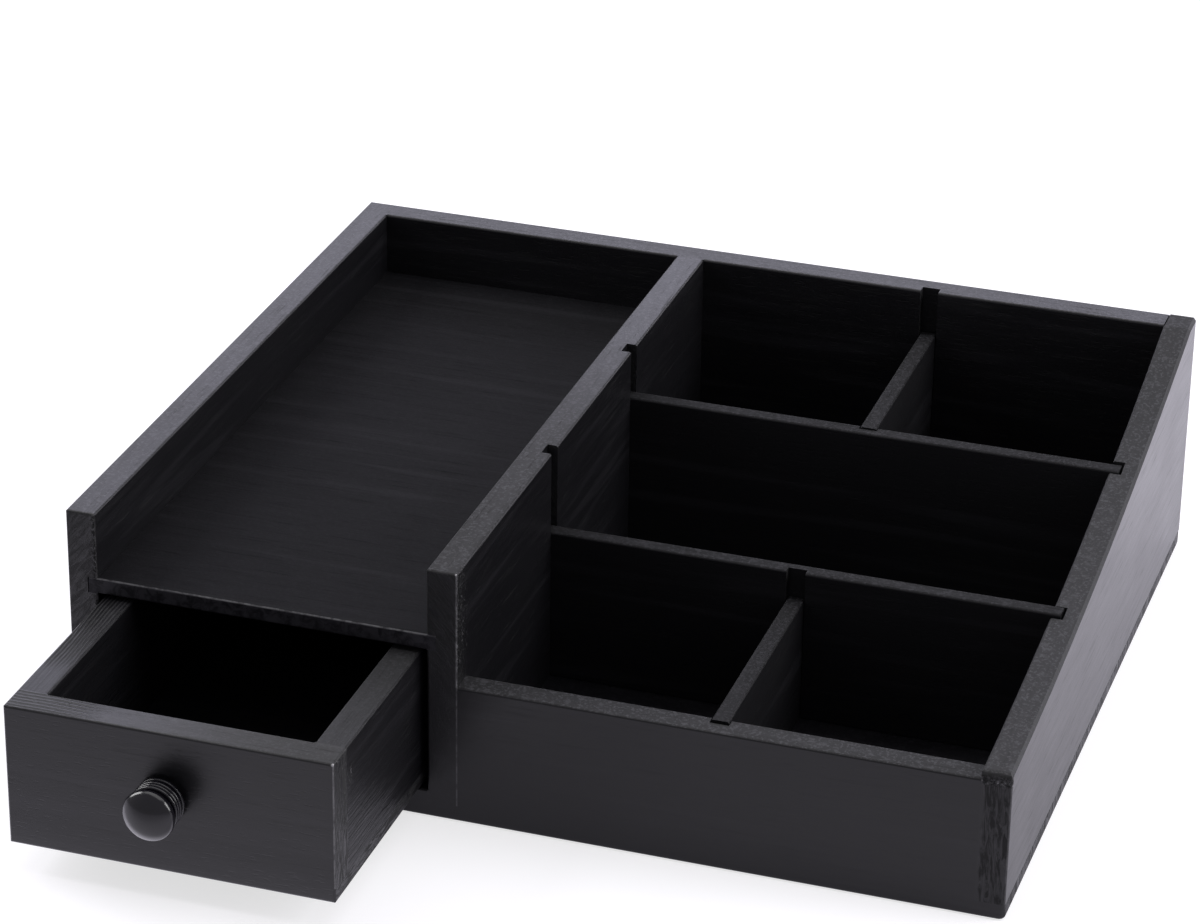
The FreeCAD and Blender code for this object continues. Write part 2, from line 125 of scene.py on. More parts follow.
# How each kind of coat looks: the roughness of its faces and tops, how strongly its grain, its
# lengthwise ridges and its fine specks show, and the paint's refraction
Coat = namedtuple("Coat", "rough top grain ridges specks ior")
COATS = {
    "face": Coat(rough=0.33, top=0.35, grain=0.4, ridges=0.0, specks=0.5, ior=1.47),
    "drawer_face": Coat(rough=0.33, top=0.37, grain=0.6, ridges=0.0, specks=0.6, ior=1.57),
    "rim": Coat(rough=0.38, top=0.39, grain=0.6, ridges=0.0, specks=1.3, ior=1.48),
    "curved": Coat(rough=0.33, top=0.66, grain=0.2, ridges=0.0, specks=1.5, ior=1.48),
    "low_rim": Coat(rough=0.34, top=0.76, grain=0.3, ridges=0.0, specks=1.6, ior=1.47),
    "ridged": Coat(rough=0.42, top=0.37, grain=0.6, ridges=1.9, specks=0.4, ior=1.44),
    "matt": Coat(rough=0.50, top=0.80, grain=0.4, ridges=0.0, specks=0.12, ior=1.22),
    "divider": Coat(rough=0.54, top=0.80, grain=0.6, ridges=0.0, specks=0.8, ior=1.34),
}

# Node, the way its grain runs, its coat, and the lean of its end grain's streaks in degrees
BOARDS = {
    "base_board": ("x", "face", 8),
    "left_side_panel": ("y", "rim", -38),
    "middle_partition": ("y", "rim", 42),
    "right_side_panel": ("y", "curved", 3),
    "front_panel": ("x", "low_rim", 0),
    "back_panel": ("x", "rim", 0),
    "shelf_board": ("x", "matt", 0),
    "drawer_sill": ("x", "face", 0),
    "drawer_runner_left": ("y", "matt", 0),
    "drawer_runner_right": ("y", "matt", 0),
    "front_cross_divider": ("x", "divider", 0),
    "back_cross_divider": ("x", "divider", 0),
    "front_short_divider": ("y", "divider", 0),
    "back_short_divider": ("y", "divider", 0),
    "drawer_bottom": ("x", "drawer_face", 90),
    "drawer_front": ("x", "drawer_face", 6),
    "drawer_left_side": ("y", "ridged", 0),
    "drawer_right_side": ("y", "ridged", 0),
    "drawer_back": ("x", "matt", 0),
}

# The grain shifts by this much from board to board, in metres. drawer_front has the shift of the
# board before it.
SEED_STEP = 0.137
SEED_OF_BOARD_BEFORE = ("drawer_front",)

# End grain that is filled as smooth as the case's face, up to this x and below this height, in mm
SMOOTH_TO = {"right_side_panel": 141.5}
SMOOTH_BELOW = {"middle_partition": 56}
SMOOTH_TO_WOBBLE = 5
SMOOTH_TO_FADE = (-0.5, 0.6)
SMOOTH_BELOW_FADE = (-14, 8)
SMOOTH_BELOW_LEAST = 0.12

# Boards whose sides have a dustier coat, and how much dustier
PALE = {"shelf_board": 1.0, "drawer_back": 0.2}

# Arrises with a painted highlight, a pale line of paint along them: which arris, and how strongly it
# shows. It comes in between these distances from the arris, in mm.
HIGHLIGHT_ARRISES = {
    "drawer_front": ("+x-y", 0.75),
    "middle_partition": ("+x-y", 0.6),
    "shelf_board": ("-y+z", 0.7),
    "left_side_panel": ("+x-y", 0.25),
    "right_side_panel": ("+x-y", 0.2),
}
HIGHLIGHT_REACH = (0.62, 0.30)

# Arrises where the paint is torn: the line's places on two axes, how far the tear reaches, all in
# mm, the axis that a torn face looks along or None for every face, and the tear's roughness. Its
# wander and the distances between which it comes in are multiples of its reach.
TORN = {
    "left_side_panel": (("x", -142.5), ("y", -133), 1.5, "y", 0.90),
    "right_side_panel": (("y", -133), ("z", 47.7), 1.8, None, 0.95),
    "middle_partition": (("x", -22.5), ("y", -133), 8.0, "x", 0.44),
    "drawer_right_side": (("z", 47), ("y", -193), 3.5, "x", 0.50),
}
TORN_WANDER = 1.5
TORN_FADE = (2.1, 1.1)
TORN_GLOSSIEST = 0.40

# Corners with a painted glint, a small pale spot of paint, and the spot's ragged size, in mm
GLINT_CORNERS = {
    "middle_partition": (-22.5, -133, 87),
    "drawer_front": (-34.8, -205.3, 57.6),
}
GLINT_RAGGED = 1.2
GLINT_REACH = (1.55, 1.15)

# Boards whose end grain is wavy, and boards whose end grain has pale flecks
KNOTTY = ("left_side_panel",)
FLECKED = ("drawer_front",)

# Tops whose gloss fades: along an axis, from a place with one roughness to a place with another
TOP_FADES = {
    "middle_partition": ("y", -130, 0.78, 110, 0.33),
    "left_side_panel": ("y", -130, 0.41, 60, 0.37),
    "drawer_front": ("x", -120, 0.33, -40, 0.76),
    "drawer_right_side": ("y", -195, 0.66, -130, 1.00),
}

# Rims with raised growth lines: the axis that they follow each other across, the axis that they
# fade over, where they are absent and where full, their pitch in mm, and their strength
RAISED_GRAIN = {
    "drawer_left_side": ("x", "y", -182, -160, 1.25, 1.0),
    "drawer_front": ("y", "x", -108, -128, 1.7, 0.65),
}
RAISED_GRAIN_WANDER = 3
TROUGH_ROUGHNESS = 0.85

# Lengthwise ridges are full up to the lower height and faint from the upper one on, in mm
RIDGE_HEIGHTS = (44, 20)
RIDGE_FAINT = 0.35

# Scale of a pattern along the grain, and of end grain along the three axes: below 1 draws it out
FIBRE_STRETCH = 0.05
PORE_STRETCH = 0.16
RING_STRETCH = (1, 1, 0.16)
KNOTTY_STRETCH = (0.9, 0.9, 0.20)

# How far a normal must lean towards up, or along the grain, to be on a top or on end grain
TOP_FACING = (0.55, 0.9)
END_FACING = (0.6, 0.95)
TORN_FACING = (0.5, 0.9)

# Noise patterns: scale per metre, detail, roughness and, where there is any, distortion
NOISES = {
    "fibre": (950, 6, 0.68),
    "bands": (170, 3, 0.5, 0.4),
    "pores": (1500, 2, 0.5),
    "peel": (950, 4, 0.62),
    "coarse": (330, 3, 0.6),
    "clouds": (22, 3, 0.5),
    "rings": (700, 5, 0.68, 1.4),
    "knotty_rings": (420, 5, 0.70, 2.2),
    "ridges": (720, 3, 0.6, 0.3),
    "smooth_edge": (330, 3, 0.6),
    "flecks": (1300, 4, 0.75),
    "dust_streaks": (260, 4, 0.7, 1.0),
    "highlight_patches": (300, 4, 0.7),
    "glint_edge": (900, 2, 0.5),
    "crumbs": (850, 4, 0.7, 0.8),
    "torn_edge": (420, 4, 0.7),
    "growth_wander": (60, 2, 0.5),
    "lacquer_waves": (230, 3, 0.5),
    "lacquer_lines": (3200, 3, 0.6),
    "lacquer_smears": (420, 4, 0.6),
    "plating": (2600, 4, 0.6),
}

# The two values of a noise between which each mark comes in
MARKS = {
    "dark_grain": (0.52, 0.66),
    "pore_marks": (0.62, 0.69),
    "pale_grain": (0.50, 0.72),
    "peel_specks": (0.52, 0.62),
    "coarse_specks": (0.55, 0.68),
    "ring_dark": (0.44, 0.54),
    "ring_pale": (0.54, 0.66),
    "ring_gloss": (0.40, 0.60),
    "flecks": (0.60, 0.68),
    "dust_streaks": (0.38, 0.60),
    "highlight_patches": (0.36, 0.58),
    "scratches": (0.58, 0.66),
    "torn_dark": (0.46, 0.54),
    "torn_pale": (0.58, 0.66),
    "torn_gloss": (0.43, 0.57),
    "ridges": (0.38, 0.62),
    "growth_crest": (-0.6, 0.6),
    "growth_trough": (0.1, -0.8),
    "smears": (0.35, 0.75),
    "plating_dark": (0.4, 0.7),
    "plating_rough": (0.3, 0.7),
}

# How strongly each mark shows in the colour
STRENGTH = {
    "pale_grain": 0.35,
    "coarse_specks": 0.7,
    "specks": 0.75,
    "ring_pale": 0.35,
    "flecks": 0.60,
    "dust_between_streaks": 0.25,
    "highlight_between_patches": 0.25,
    "painted_glint": 0.85,
    "torn_pale": 0.75,
}

# How much each pattern adds to the roughness, and the roughness of end grain from dull to glossy
ROUGHENS = {"clouds": 0.08, "fibre": 0.15, "scratches": 0.22}
END_DULL = 0.80
KNOTTY_END_DULL = 0.62
END_GLOSSY = 0.35

# How high each pattern stands in the paint's relief, against the others
RELIEF = {
    "fibre": 0.20,
    "fibre_by_grain": 0.7,
    "bands": 0.45,
    "peel_on_sides": 0.14,
    "peel_on_tops": 0.7,
    "pores": 0.6,
    "growth_lines": 6.5,
    "rings": 2.6,
    "peel_on_ends": 0.9,
    "crumbs": 6.0,
}

# Bump of each finish: its strength, and its depth in mm
PAINT_BUMP = (0.6, 0.12)
LACQUER_BUMP = (0.22, 0.08)
STEEL_BUMP = (0.3, 0.04)


class Graph:
    """A material's node tree, with short calls that add nodes and link them."""

    def __init__(self, name):
        self.material = bpy.data.materials.new(name)
        self.material.use_nodes = True
        self.tree = self.material.node_tree
        self.tree.nodes.clear()

    def add(self, kind, inputs=None, **settings):
        node = self.tree.nodes.new("ShaderNode" + kind)
        for key, value in settings.items():
            setattr(node, key, value)
        for key, value in (inputs or {}).items():
            if isinstance(value, bpy.types.NodeSocket):
                self.tree.links.new(value, node.inputs[key])
            else:
                node.inputs[key].default_value = value
        return node

    def maths(self, operation, a, b=0.0, clamp=False):
        node = self.add("Math", {0: a, 1: b}, operation=operation, use_clamp=clamp)
        return node.outputs[0]

    def plus(self, a, b):
        return self.maths("ADD", a, b)

    def minus(self, a, b):
        return self.maths("SUBTRACT", a, b)

    def times(self, a, b, clamp=False):
        return self.maths("MULTIPLY", a, b, clamp)

    def apart(self, a, b):
        """How far two numbers lie from each other."""
        return self.maths("ABSOLUTE", self.minus(a, b))

    def noise(self, vector, pattern):
        """The noise of that name in NOISES."""
        scale, detail, roughness, *rest = NOISES[pattern]
        distortion = rest[0] if rest else 0.0
        node = self.add("TexNoise", {"Vector": vector, "Scale": scale, "Detail": detail,
                                     "Roughness": roughness, "Distortion": distortion})
        return node.outputs["Fac"]

    def remap(self, value, low, high, out_low=0.0, out_high=1.0):
        """A smooth step from low to high, spread over the two outputs."""
        node = self.add("MapRange", {"Value": value, "From Min": low, "From Max": high,
                                     "To Min": out_low, "To Max": out_high},
                        interpolation_type="SMOOTHSTEP")
        return node.outputs["Result"]

    def mark(self, name, value, out_low=0.0, out_high=1.0):
        """A smooth step between the two values of that name in MARKS."""
        return self.remap(value, *MARKS[name], out_low, out_high)

    def mapping(self, vector, **settings):
        """The vector moved, turned or scaled, by Location, Rotation or Scale."""
        return self.add("Mapping", {"Vector": vector, **settings}).outputs[0]

    def split(self, vector):
        """The three numbers of a vector."""
        return self.add("SeparateXYZ", {"Vector": vector}).outputs

    def mix(self, factor, a, b):
        """A colour between a and b."""
        node = self.add("Mix", {0: factor, 6: a, 7: b}, data_type="RGBA")
        return node.outputs[2]

    def blend(self, factor, a, b):
        """A number between a and b."""
        node = self.add("Mix", {0: factor, 2: a, 3: b}, data_type="FLOAT")
        return node.outputs[0]

    def bump(self, height, strength, depth):
        """A normal bent by a height. The depth is in mm."""
        node = self.add("Bump", {"Height": height, "Strength": strength, "Distance": depth * MM})
        return node.outputs["Normal"]

    def output(self, surface):
        self.add("OutputMaterial", {"Surface": surface})
        return self.material


def make_camera():
    """A camera that looks as the photograph does."""
    azimuth = math.radians(CAMERA_AZIMUTH)
    elevation = math.radians(CAMERA_ELEVATION)
    towards_camera = Vector((math.sin(azimuth) * math.cos(elevation),
                             -math.cos(azimuth) * math.cos(elevation),
                             math.sin(elevation)))
    right = Vector((0, 0, 1)).cross(towards_camera).normalized()
    up = towards_camera.cross(right)
    turn = Matrix((right, up, towards_camera)).transposed().to_4x4()
    roll = Matrix.Rotation(math.radians(CAMERA_ROLL), 4, "Z")
    data = bpy.data.cameras.new("camera")
    data.lens = CAMERA_LENS
    data.sensor_width = SENSOR_WIDTH
    data.clip_end = CAMERA_REACH
    camera = bpy.data.objects.new("camera", data)
    camera.matrix_world = Matrix.Translation(CAMERA_PLACE) @ turn @ roll
    bpy.context.scene.collection.objects.link(camera)
    bpy.context.scene.camera = camera


def make_world():
    """A faint even light that the camera sees as white."""
    world = bpy.data.worlds.new("studio")
    world.use_nodes = True
    tree = world.node_tree
    tree.nodes.clear()
    paths = tree.nodes.new("ShaderNodeLightPath")
    strength = tree.nodes.new("ShaderNodeMix")
    strength.inputs[2].default_value = WORLD_LIGHT
    strength.inputs[3].default_value = 1.0
    background = tree.nodes.new("ShaderNodeBackground")
    background.inputs["Color"].default_value = WORLD_COLOUR
    output = tree.nodes.new("ShaderNodeOutputWorld")
    tree.links.new(paths.outputs["Is Camera Ray"], strength.inputs[0])
    tree.links.new(strength.outputs[0], background.inputs["Strength"])
    tree.links.new(background.outputs[0], output.inputs["Surface"])
    bpy.context.scene.world = world


def floor_sheen(g):
    """How brightly the floor glows, as painted light that only glossy rays see, by its place."""
    place = g.split(g.add("TexCoord").outputs["Object"])
    towards_back = g.plus(place["Y"], g.times(place["X"], FLOOR_SHEEN_SLANT))
    sheen = g.remap(towards_back, *FLOOR_SHEEN_GROWS, FLOOR_SHEEN_FRONT, FLOOR_SHEEN_BACK)
    sheen = g.times(sheen, g.remap(place["Y"], *FLOOR_SHEEN_STARTS))
    from_face = g.apart(place["Y"], KNOB_FACE_Y * MM)
    from_knob = g.apart(place["X"], (KNOB_X - UNDER_KNOB_SHIFT) * MM)
    under_knob = g.times(g.remap(from_face, *UNDER_KNOB_REACH_Y),
                         g.remap(from_knob, *UNDER_KNOB_REACH_X))
    return g.plus(sheen, g.times(under_knob, FLOOR_SHEEN_UNDER_KNOB))


def floor_material():
    """White to the camera, grey to the light, with a painted glow of its own that reflections see.
    """
    g = Graph("floor_white")
    paths = g.add("LightPath").outputs
    diffuse = g.add("BsdfDiffuse", {"Color": FLOOR_COLOUR})
    seen = g.times(paths["Is Camera Ray"], FLOOR_WHITENING)
    extra = g.plus(seen, g.times(paths["Is Glossy Ray"], floor_sheen(g)))
    glow_colour = g.mix(paths["Is Glossy Ray"], WHITE, FLOOR_SHEEN_COLOUR)
    glow = g.add("Emission", {"Color": glow_colour, "Strength": extra})
    both = g.add("AddShader", {0: diffuse.outputs[0], 1: glow.outputs[0]})
    return g.output(both.outputs[0])


def make_floor():
    h = FLOOR_HALF_SIZE
    mesh = bpy.data.meshes.new("floor")
    mesh.from_pydata([(-h, -h, 0), (h, -h, 0), (h, h, 0), (-h, h, 0)], [], [(0, 1, 2, 3)])
    floor = bpy.data.objects.new("floor", mesh)
    floor.location.z = -FLOOR_DROP
    bpy.context.scene.collection.objects.link(floor)
    mesh.materials.append(floor_material())


def area_light(name, place, target, width, height, power, colour):
    data = bpy.data.lights.new(name, "AREA")
    data.shape = "RECTANGLE"
    data.size = width
    data.size_y = height
    data.energy = power
    data.color = colour
    light = bpy.data.objects.new(name, data)
    light.location = place
    aim = Vector(place) - Vector(target)
    light.rotation_euler = aim.to_track_quat("Z", "Y").to_euler()
    bpy.context.scene.collection.objects.link(light)


def make_lights():
    """A wide soft box overhead, two fainter ones behind, and one about a metre wide on each side."""
    for name, settings in LIGHTS.items():
        area_light(name, *settings)


def arris_distance(g, place, node, arris):
    """How far a point on a board is from one of its long arrises, such as "+x-y"."""
    low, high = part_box(node)
    axes = g.split(place)
    depths = []
    for sign, letter in (arris[:2], arris[2:]):
        axis = AXIS[letter]
        if sign == "+":
            depths.append(g.minus(high[axis], axes[axis]))
        else:
            depths.append(g.minus(axes[axis], low[axis]))
    return g.maths("MAXIMUM", depths[0], depths[1])


def torn_arris(g, wood, line_a, line_b, reach):
    """Where an arris's paint is torn: near the line at the given places on two axes, in mm."""
    (axis_a, at_a), (axis_b, at_b) = line_a, line_b
    from_a = g.apart(wood.axes[AXIS[axis_a]], at_a * MM)
    from_b = g.apart(wood.axes[AXIS[axis_b]], at_b * MM)
    wander = g.times(g.noise(wood.place, "torn_edge"), TORN_WANDER * reach * MM)
    far = g.plus(g.maths("MAXIMUM", from_a, from_b), wander)
    start, full = TORN_FADE
    return g.remap(far, start * reach * MM, full * reach * MM)


def raised_grain(g, wood, where):
    """Raised growth lines on a rim and the troughs between them, as two masks."""
    across, over, none_at, full_at, pitch, strength = where
    wander = g.noise(g.mapping(wood.place, Scale=(0.5, 0.5, 1)), "growth_wander")
    bent = g.plus(wood.axes[AXIS[across]], g.times(wander, RAISED_GRAIN_WANDER * MM))
    wave = g.maths("SINE", g.times(bent, 2 * math.pi / (pitch * MM)))
    reach = g.remap(wood.axes[AXIS[over]], none_at * MM, full_at * MM, 0.0, strength)
    reach = g.times(reach, wood.top)
    crest = g.times(g.mark("growth_crest", wave), reach)
    trough = g.times(g.mark("growth_trough", wave), reach)
    return crest, trough


def end_grain(g, node, along, wood, ring_space):
    """How far a point is on rough end grain, from 0 to 1."""
    end = g.remap(g.maths("ABSOLUTE", wood.normal[AXIS[along]]), *END_FACING)
    if node in SMOOTH_TO:
        wobble = g.times(g.noise(ring_space, "smooth_edge"), SMOOTH_TO_WOBBLE * MM)
        beyond = g.minus(wood.axes[0], g.plus(SMOOTH_TO[node] * MM, wobble))
        start, full = SMOOTH_TO_FADE
        end = g.times(end, g.remap(beyond, start * MM, full * MM))
    if node in SMOOTH_BELOW:
        joint = SMOOTH_BELOW[node] * MM
        below, above = SMOOTH_BELOW_FADE
        end = g.times(end, g.remap(wood.axes[2], joint + below * MM, joint + above * MM,
                                   SMOOTH_BELOW_LEAST, 1.0))
    return end


def along_grain(g, vector, along, stretch):
    """The vector drawn out along the grain, so that a noise in it runs lengthwise."""
    scale = [1.0, 1.0, 1.0]
    scale[AXIS[along]] = stretch
    return g.mapping(vector, Scale=tuple(scale))


def wood_patterns(g, node, along, look, seed, ring_tilt):
    """The places, masks and noises that a board's colour, roughness and relief are made from."""
    wood = SimpleNamespace()
    wood.place = g.add("TexCoord").outputs["Object"]
    wood.axes = g.split(wood.place)
    shifted = g.mapping(wood.place, Location=(seed, seed * 0.7, seed * 1.3))
    wood.fibre_space = along_grain(g, shifted, along, FIBRE_STRETCH)
    pore_space = along_grain(g, shifted, along, PORE_STRETCH)
    tilt = [0.0, 0.0, 0.0]
    tilt[AXIS[along]] = math.radians(ring_tilt)
    wood.leaning = g.mapping(shifted, Rotation=tuple(tilt))
    ring_space = g.mapping(wood.leaning, Scale=KNOTTY_STRETCH if node in KNOTTY else RING_STRETCH)

    wood.normal = g.split(g.add("NewGeometry").outputs["Normal"])
    wood.top = g.remap(wood.normal[2], *TOP_FACING)
    wood.end = end_grain(g, node, along, wood, ring_space)

    wood.fibre = g.noise(wood.fibre_space, "fibre")
    wood.bands = g.noise(wood.fibre_space, "bands")
    wood.peel = g.noise(wood.place, "peel")
    wood.coarse = g.noise(shifted, "coarse")
    wood.clouds = g.noise(shifted, "clouds")
    wood.rings = g.noise(ring_space, "knotty_rings" if node in KNOTTY else "rings")
    pores = g.noise(pore_space, "pores")
    wood.pore_marks = g.times(g.mark("pore_marks", pores), look.grain, clamp=True)
    return wood


def paint_colour(g, node, wood, look):
    """Black, deeper in grain and pores, dusty where a board is so, and with painted highlights and
    glints.
    """
    dark_grain = g.times(g.mark("dark_grain", wood.fibre), look.grain, clamp=True)
    colour = g.mix(g.maths("MAXIMUM", dark_grain, wood.pore_marks), PAINT_BLACK, PAINT_DEEP)
    pale_grain = g.times(g.mark("pale_grain", wood.bands), look.grain * STRENGTH["pale_grain"])
    colour = g.mix(pale_grain, colour, PAINT_DUST)
    coarse_specks = g.mark("coarse_specks", wood.coarse, 0.0, STRENGTH["coarse_specks"])
    mottle = g.maths("MAXIMUM", g.mark("peel_specks", wood.peel), coarse_specks)
    specks = g.times(g.times(mottle, wood.top), STRENGTH["specks"] * look.specks, clamp=True)
    colour = g.mix(specks, colour, PAINT_DUST)
    colour = g.mix(g.times(wood.end, g.mark("ring_dark", wood.rings, 1.0, 0.0)), colour, PAINT_DEEP)
    ring_pale = g.mark("ring_pale", wood.rings, 0.0, STRENGTH["ring_pale"])
    colour = g.mix(g.times(wood.end, ring_pale), colour, PAINT_DUST)
    if node in FLECKED:
        flecks = g.mark("flecks", g.noise(wood.place, "flecks"), 0.0, STRENGTH["flecks"])
        colour = g.mix(g.times(wood.end, flecks), colour, PAINT_WORN_AND_HIGHLIGHT)
    if node in PALE:
        streaks = g.noise(wood.leaning, "dust_streaks")
        least = STRENGTH["dust_between_streaks"] * PALE[node]
        dust = g.mark("dust_streaks", streaks, least, PALE[node])
        colour = g.mix(g.blend(wood.top, dust, 0.0), colour, PAINT_DUST)
    # Painted highlight: a pale line along an arris, in patches
    if node in HIGHLIGHT_ARRISES:
        arris, strength = HIGHLIGHT_ARRISES[node]
        start, full = HIGHLIGHT_REACH
        close = g.remap(arris_distance(g, wood.place, node, arris), start * MM, full * MM)
        patches = g.mark("highlight_patches", g.noise(wood.place, "highlight_patches"),
                         STRENGTH["highlight_between_patches"], 1.0)
        colour = g.mix(g.times(g.times(close, patches), strength), colour, PAINT_WORN_AND_HIGHLIGHT)
    # Painted glint: a small pale spot at a corner
    if node in GLINT_CORNERS:
        corner = Vector(GLINT_CORNERS[node]) * MM
        gap = g.add("VectorMath", {0: wood.place, 1: corner}, operation="DISTANCE").outputs["Value"]
        ragged = g.times(g.noise(wood.place, "glint_edge"), GLINT_RAGGED * MM)
        start, full = GLINT_REACH
        painted_glint = g.remap(g.plus(gap, ragged), start * MM, full * MM, 0.0, STRENGTH["painted_glint"])
        colour = g.mix(painted_glint, colour, PAINT_GLINT)
    return colour


def paint_roughness(g, node, wood, look):
    """The coat's roughness, on faces, tops and end grain."""
    top_roughness = look.top
    if node in TOP_FADES:
        axis, start, start_roughness, end_at, end_roughness = TOP_FADES[node]
        top_roughness = g.remap(wood.axes[AXIS[axis]], start * MM, end_at * MM,
                                start_roughness, end_roughness)
    roughness = g.blend(wood.top, look.rough, top_roughness)
    roughness = g.plus(roughness, g.times(g.minus(wood.clouds, 0.5), ROUGHENS["clouds"]))
    roughness = g.plus(roughness, g.times(g.minus(wood.fibre, 0.5), ROUGHENS["fibre"]))
    scratches = g.times(g.mark("scratches", wood.fibre), ROUGHENS["scratches"] * look.grain)
    roughness = g.plus(roughness, scratches)
    end_dull = KNOTTY_END_DULL if node in KNOTTY else END_DULL
    return g.blend(wood.end, roughness, g.mark("ring_gloss", wood.rings, end_dull, END_GLOSSY))


def paint_relief(g, wood, look):
    """The height of brush marks, grain and ridges, before the end grain takes over."""
    height = g.times(wood.fibre, RELIEF["fibre"] + RELIEF["fibre_by_grain"] * look.grain)
    height = g.plus(height, g.times(wood.bands, RELIEF["bands"] * look.grain))
    peel_height = g.blend(wood.top, RELIEF["peel_on_sides"], RELIEF["peel_on_tops"])
    height = g.plus(height, g.times(wood.peel, peel_height))
    height = g.minus(height, g.times(wood.pore_marks, RELIEF["pores"]))
    if look.ridges:
        lines = g.mark("ridges", g.noise(wood.fibre_space, "ridges"))
        faint_from, full_to = RIDGE_HEIGHTS
        low_half = g.remap(wood.axes[2], faint_from * MM, full_to * MM, RIDGE_FAINT, 1.0)
        height = g.plus(height, g.times(g.times(lines, low_half), look.ridges))
    return height


def painted_board(node, along, coat, seed, ring_tilt):
    """Black paint over solid wood whose grain runs along one axis.

    seed moves the grain, so that boards differ. ring_tilt leans the streaks of the end grain.
    """
    look = COATS[coat]
    g = Graph(node + "_paint")
    wood = wood_patterns(g, node, along, look, seed, ring_tilt)
    colour = paint_colour(g, node, wood, look)
    roughness = paint_roughness(g, node, wood, look)
    height = paint_relief(g, wood, look)
    if node in RAISED_GRAIN:
        crest, trough = raised_grain(g, wood, RAISED_GRAIN[node])
        height = g.plus(height, g.times(crest, RELIEF["growth_lines"]))
        roughness = g.blend(trough, roughness, TROUGH_ROUGHNESS)
    end_height = g.plus(g.times(wood.rings, RELIEF["rings"]),
                        g.times(wood.peel, RELIEF["peel_on_ends"]))
    height = g.blend(wood.end, height, end_height)
    if node in TORN:
        line_a, line_b, reach, face, dull = TORN[node]
        torn = torn_arris(g, wood, line_a, line_b, reach)
        if face:
            facing = g.maths("ABSOLUTE", wood.normal[AXIS[face]])
            torn = g.times(torn, g.remap(facing, *TORN_FACING))
        crumbs = g.noise(wood.place, "crumbs")
        colour = g.mix(g.times(torn, g.mark("torn_dark", crumbs, 1.0, 0.0)), colour, PAINT_DEEP)
        torn_pale = g.mark("torn_pale", crumbs, 0.0, STRENGTH["torn_pale"])
        colour = g.mix(g.times(torn, torn_pale), colour, PAINT_WORN_AND_HIGHLIGHT)
        roughness = g.blend(torn, roughness, g.mark("torn_gloss", crumbs, dull, TORN_GLOSSIEST))
        height = g.blend(torn, height, g.times(crumbs, RELIEF["crumbs"]))
    shader = g.add("BsdfPrincipled", {"Base Color": colour, "Roughness": roughness,
                                      "IOR": look.ior, "Normal": g.bump(height, *PAINT_BUMP)})
    return g.output(shader.outputs[0])


def gloss_lacquer():
    """Thick glossy black lacquer on turned wood."""
    g = Graph("knob_gloss_black")
    place = g.add("TexCoord").outputs["Object"]
    waves = g.noise(place, "lacquer_waves")
    lines = g.noise(g.mapping(place, Scale=(0.25, 1.0, 0.25)), "lacquer_lines")
    height = g.plus(waves, g.times(lines, LACQUER_LINES))
    smears = g.mark("smears", g.noise(place, "lacquer_smears"), *LACQUER_ROUGHNESS)
    shader = g.add("BsdfPrincipled", {"Base Color": LACQUER_BLACK, "Roughness": smears,
                                      "IOR": LACQUER_IOR, "Coat Weight": LACQUER_COAT,
                                      "Coat Roughness": LACQUER_COAT_ROUGHNESS,
                                      "Normal": g.bump(height, *LACQUER_BUMP)})
    return g.output(shader.outputs[0])


def plated_steel():
    """Plain plated steel for the knob's screw."""
    g = Graph("screw_steel_plated")
    grain = g.noise(g.add("TexCoord").outputs["Object"], "plating")
    colour = g.mix(g.mark("plating_dark", grain), STEEL_PALE, STEEL_DARK)
    shader = g.add("BsdfPrincipled", {"Base Color": colour, "Metallic": 1.0,
                                      "Roughness": g.mark("plating_rough", grain, *STEEL_ROUGHNESS),
                                      "Normal": g.bump(grain, *STEEL_BUMP)})
    return g.output(shader.outputs[0])


def knob_outline():
    """Distance from the drawer's face and radius, from the neck to the middle of the dome."""
    points = list(KNOB_FLANGE)
    bead_height = KNOB_BEAD_RADIUS - KNOB_GROOVE_RADIUS
    for start, end in zip(KNOB_BEADS, KNOB_BEADS[1:]):
        for step in range(KNOB_BEAD_STEPS + 1):
            turn = math.pi * step / KNOB_BEAD_STEPS
            along = (start + end) / 2 - math.cos(turn) * (end - start) / 2
            bulge = bead_height * math.sin(turn) ** KNOB_BEAD_FULLNESS
            points.append((along, KNOB_GROOVE_RADIUS + bulge))
    points += KNOB_HEAD_BACK
    rim_centre = KNOB_HEAD_RADIUS - KNOB_RIM_RADIUS
    rise = KNOB_HEAD_END - KNOB_HEAD_WIDEST
    crown = (rim_centre ** 2 + rise ** 2 - KNOB_RIM_RADIUS ** 2) / (2 * (rise - KNOB_RIM_RADIUS))
    rim_end = math.atan2(crown - rise, rim_centre)
    for step in range(KNOB_RIM_STEPS + 1):
        turn = rim_end * step / KNOB_RIM_STEPS
        points.append((KNOB_HEAD_WIDEST + KNOB_RIM_RADIUS * math.sin(turn),
                       rim_centre + KNOB_RIM_RADIUS * math.cos(turn)))
    for step in range(1, KNOB_CROWN_STEPS + 1):
        turn = rim_end + (math.pi / 2 - rim_end) * step / KNOB_CROWN_STEPS
        points.append((KNOB_HEAD_END - crown + crown * math.sin(turn),
                       max(0.0, crown * math.cos(turn))))
    return points


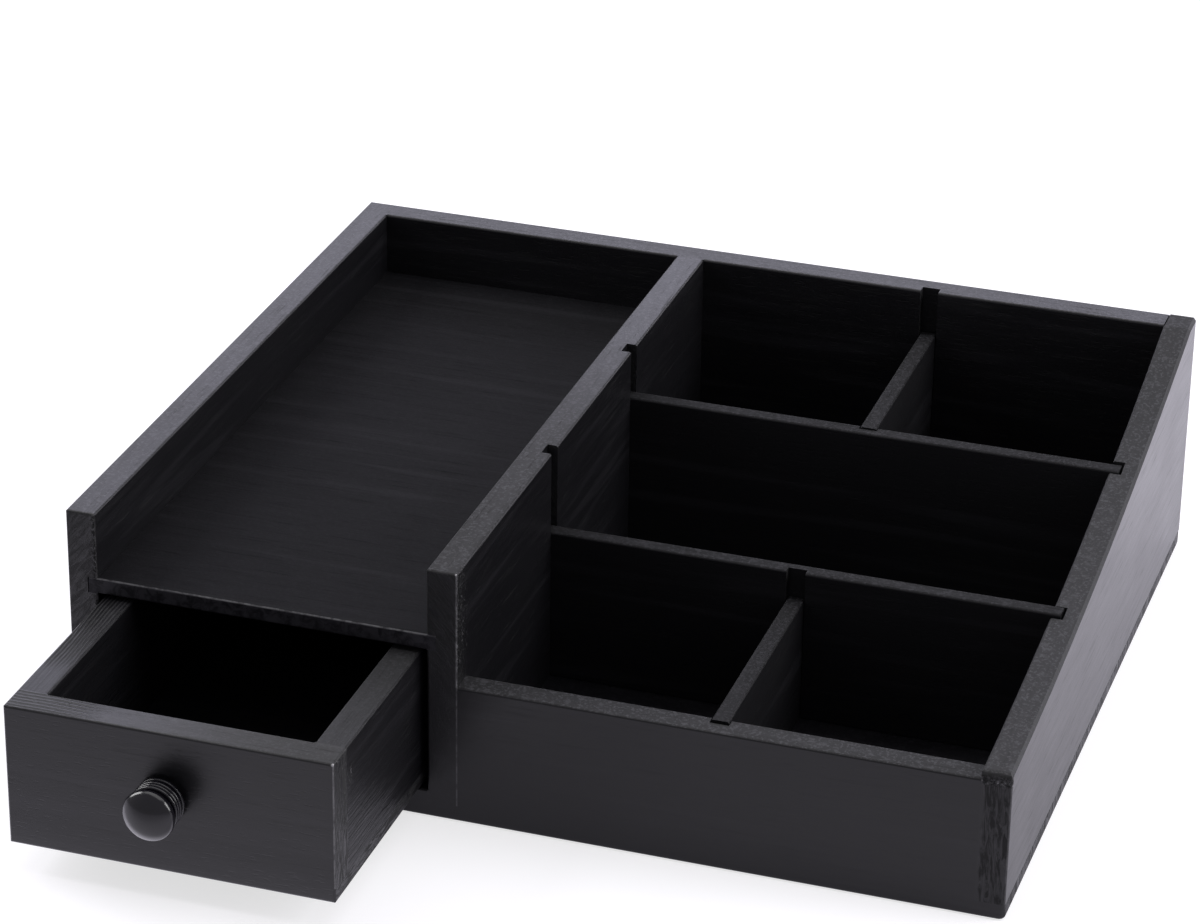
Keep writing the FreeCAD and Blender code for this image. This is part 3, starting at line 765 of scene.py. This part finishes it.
def turned_mesh(outline):
    """The outline turned on the knob's axis, closed at the neck and at the pole."""
    mesh = bpy.data.meshes.new("knob_turned")
    shape = bmesh.new()
    rings = []
    for along, radius in outline[:-1]:
        ring = []
        for turn in range(KNOB_TURNS):
            angle = 2 * math.pi * turn / KNOB_TURNS
            ring.append(shape.verts.new(((KNOB_X + radius * math.cos(angle)) * MM,
                                         (KNOB_FACE_Y - along) * MM,
                                         (KNOB_Z + radius * math.sin(angle)) * MM)))
        rings.append(ring)
    pole = shape.verts.new((KNOB_X * MM, (KNOB_FACE_Y - outline[-1][0]) * MM, KNOB_Z * MM))
    for low, high in zip(rings, rings[1:]):
        for turn in range(KNOB_TURNS):
            after = (turn + 1) % KNOB_TURNS
            shape.faces.new((low[turn], low[after], high[after], high[turn]))
    for turn in range(KNOB_TURNS):
        shape.faces.new((rings[-1][turn], rings[-1][(turn + 1) % KNOB_TURNS], pole))
    shape.faces.new(rings[0][::-1])
    bmesh.ops.recalc_face_normals(shape, faces=shape.faces)
    for face in shape.faces:
        face.smooth = True
    shape.to_mesh(mesh)
    shape.free()
    return mesh


def turned_knob():
    """The knob with its fine beads and fuller dome, turned on the axis of the CAD knob."""
    mesh = turned_mesh(knob_outline())
    knob = bpy.data.objects.new("knob_turned", mesh)
    bpy.context.scene.collection.objects.link(knob)
    mesh.materials.append(gloss_lacquer())
    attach(knob, "drawer")
    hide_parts("drawer_knob")


def dress(node, material):
    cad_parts[node].data.materials.clear()
    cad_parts[node].data.materials.append(material)


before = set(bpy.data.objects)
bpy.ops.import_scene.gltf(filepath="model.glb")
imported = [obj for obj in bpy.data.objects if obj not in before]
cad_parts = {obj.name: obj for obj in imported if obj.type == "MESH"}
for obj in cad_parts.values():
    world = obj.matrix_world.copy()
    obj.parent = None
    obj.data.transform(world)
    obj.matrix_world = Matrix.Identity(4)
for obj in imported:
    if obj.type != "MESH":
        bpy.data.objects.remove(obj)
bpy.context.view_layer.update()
make_camera()
make_world()
make_floor()
make_lights()
for number, (node, (along, coat, tilt)) in enumerate(BOARDS.items()):
    seed = SEED_STEP * (number if node in SEED_OF_BOARD_BEFORE else number + 1)
    dress(node, painted_board(node, along, coat, seed, tilt))
dress("drawer_knob", gloss_lacquer())
turned_knob()
dress("knob_screw", plated_steel())

bpy.context.scene.view_settings.view_transform = "Standard"
